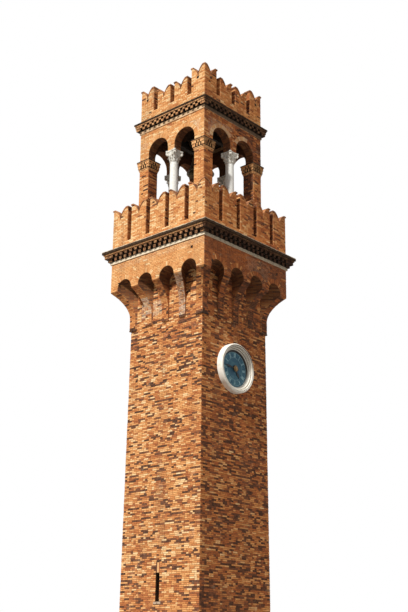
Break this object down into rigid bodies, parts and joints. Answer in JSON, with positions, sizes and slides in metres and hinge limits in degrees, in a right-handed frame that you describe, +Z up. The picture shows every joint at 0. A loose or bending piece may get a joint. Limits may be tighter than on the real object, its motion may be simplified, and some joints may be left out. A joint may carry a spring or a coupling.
{
  "type": "brick clock tower",
  "caption": "Square brick clock tower with a corbelled terrace, an open belfry with paired arches and swallow-tailed merlons, and a round dial.",
  "frame": {"origin": "middle of the tower's base, at ground level", "axes": "+Z up; the clock looks along -Y; the slit windows are on the -X and +X sides"},
  "size_m": [6.268, 6.268, 27.282],
  "materials": {
    "brick": "matte",
    "white_stone": "matte",
    "slab_stone": "matte",
    "oak": "matte",
    "hand_iron": "satin",
    "wrought_iron": "matte",
    "dial_paint": "satin",
    "gilding": "satin",
    "bell_bronze": "satin"
  },
  "bodies": {
    "tower": {"arcade_wall_back": "brick", "arcade_wall_front": "brick", "arcade_wall_left": "brick", "arcade_wall_right": "brick", "belfry_piers": "brick", "belfry_plinth": "brick", "bell_beams": "oak", "bell_bearings": "wrought_iron", "clock_arbor": "wrought_iron", "clock_dial": "dial_paint", "clock_ring": "white_stone", "column_bases": "white_stone", "column_capitals": "white_stone", "column_shafts": "white_stone", "corbel_gallery_back": "brick", "corbel_gallery_front": "brick", "corbel_gallery_left": "brick", "corbel_gallery_right": "brick", "door_surround": "white_stone", "entrance_door": "oak", "ground_floor": "slab_stone", "lower_dentils": "brick", "lower_parapet_back": "brick", "lower_parapet_front": "brick", "lower_parapet_left": "brick", "lower_parapet_right": "brick", "lower_string": "white_stone", "lower_teeth": "brick", "merlon_copings": "brick", "pier_foot_ledges": "brick", "pier_imposts": "brick", "roof_slab": "slab_stone", "shaft_wall_back": "brick", "shaft_wall_front": "brick", "shaft_wall_left": "brick", "shaft_wall_right": "brick", "slit_sills": "white_stone", "terrace_slab": "slab_stone", "upper_dentils": "brick", "upper_parapet_back": "brick", "upper_parapet_front": "brick", "upper_parapet_left": "brick", "upper_parapet_right": "brick", "upper_string": "brick", "upper_teeth": "brick"},
    "minute_hand_set": {"minute_hand": "hand_iron", "sun_boss": "gilding"},
    "hour_hand_set": {"hour_hand": "hand_iron"},
    "bell_set": {"bell": "bell_bronze", "bell_headstock": "oak", "headstock_gudgeons": "wrought_iron"},
    "clapper_set": {"clapper": "wrought_iron"}
  },
  "joints": [
    {"name": "minute_hand_turn", "type": "hinge", "parent": "tower", "child": "minute_hand_set", "pos_m": [-0.1, -2.2365, 13.18], "axis": [0, 1, 0], "continuous": true},
    {"name": "hour_hand_turn", "type": "hinge", "parent": "tower", "child": "hour_hand_set", "pos_m": [-0.1, -2.2035, 13.18], "axis": [0, 1, 0], "continuous": true},
    {"name": "bell_swing", "type": "hinge", "parent": "tower", "child": "bell_set", "pos_m": [0, 0, 24.88], "axis": [0, 1, 0], "range_deg": [-30, 30]},
    {"name": "clapper_swing", "type": "hinge", "parent": "bell_set", "child": "clapper_set", "pos_m": [0, 0, 23.915], "axis": [0, 1, 0], "range_deg": [-31, 31]}
  ],
  "couplings": [
    {"joint": "hour_hand_turn", "follows": "minute_hand_turn", "ratio": 0.083333}
  ]
}
